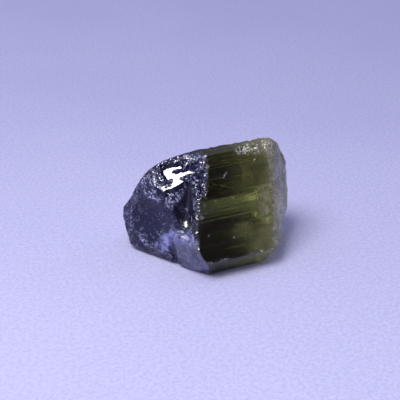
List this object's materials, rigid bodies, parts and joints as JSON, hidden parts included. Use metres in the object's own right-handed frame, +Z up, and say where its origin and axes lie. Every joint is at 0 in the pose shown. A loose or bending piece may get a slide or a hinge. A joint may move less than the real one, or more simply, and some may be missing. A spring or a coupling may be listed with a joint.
{
  "type": "tourmaline crystal",
  "caption": "Short triangular tourmaline prism, green and clear, growth-stepped sides, low termination at one end and a rough dark break at the other, lying on one side.",
  "frame": {"origin": "middle of the underside of the bounding box, on the prism side that the crystal lies on", "axes": "+X along the prism from the broken end to the termination, +Y towards the back lower corner, +Z up"},
  "size_m": [0.0144, 0.0104, 0.0093],
  "materials": {
    "tourmaline": "clear olive-green crystal, glossy and finely striated on its sides, pitted and nearly black at the broken end"
  },
  "bodies": {
    "root": {"tourmaline_crystal": "tourmaline"}
  },
  "joints": []
}
